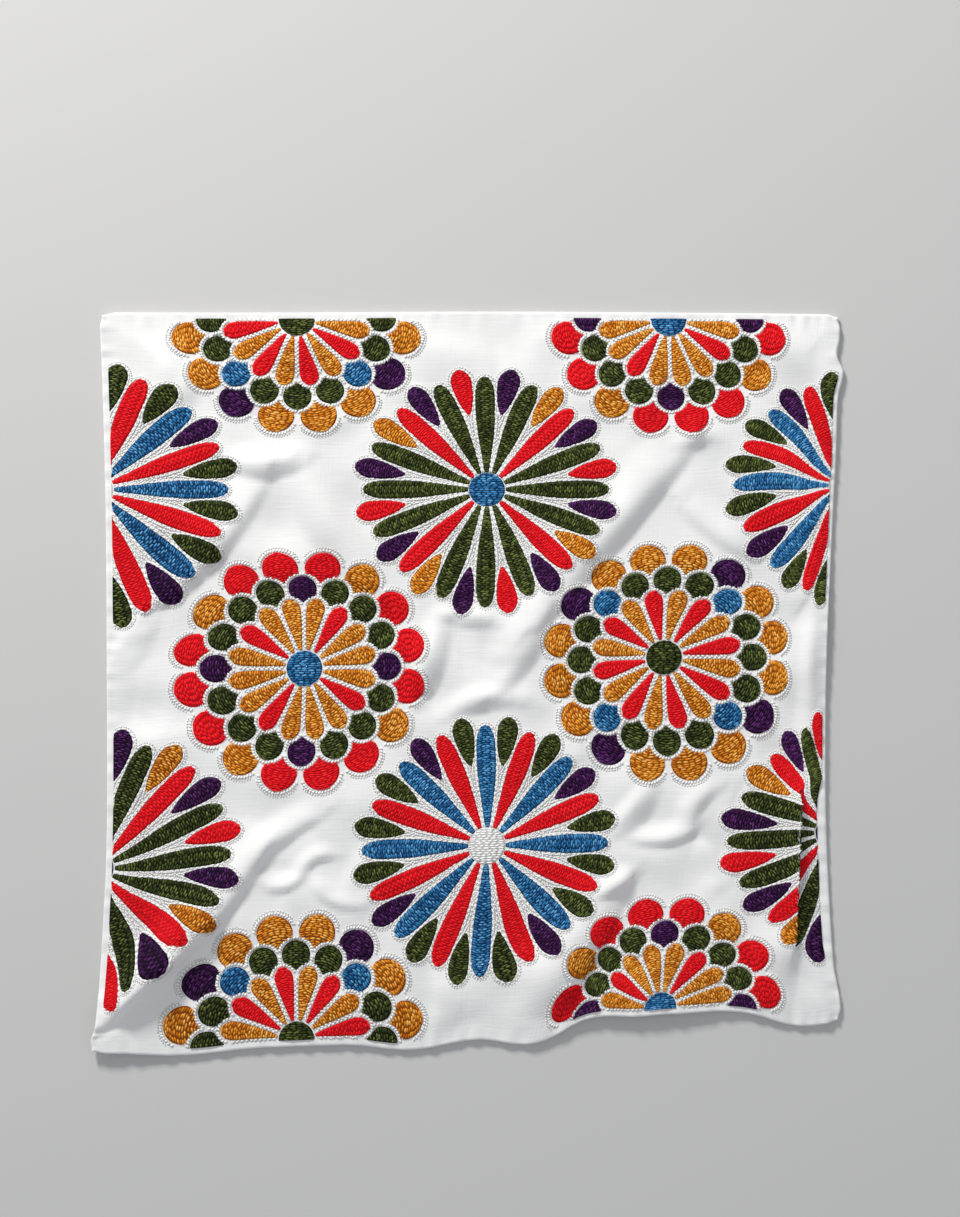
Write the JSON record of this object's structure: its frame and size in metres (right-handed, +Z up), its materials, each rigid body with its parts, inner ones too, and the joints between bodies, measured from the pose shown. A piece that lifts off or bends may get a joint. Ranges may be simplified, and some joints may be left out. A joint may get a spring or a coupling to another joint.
{
  "type": "embroidered cushion cover",
  "caption": "Square cotton cushion cover, empty and opened out flat with its creases, embroidered over its front with burst and scalloped flowers.",
  "frame": {"origin": "under the middle of the cover's outline, on the surface that it lies on", "axes": "+X along the top seam to the right, +Y from the bottom seam to the top one, +Z up out of the embroidered front"},
  "size_m": [0.3975, 0.3932, 0.0108],
  "materials": {
    "front_cotton": "matte",
    "back_cotton": "matte",
    "red_yarn": "matte",
    "green_yarn": "matte",
    "ochre_yarn": "matte",
    "purple_yarn": "matte",
    "blue_yarn": "matte",
    "white_yarn": "matte"
  },
  "bodies": {
    "root": {"front_panel": "front_cotton", "back_panel": "back_cotton"}
  },
  "joints": []
}
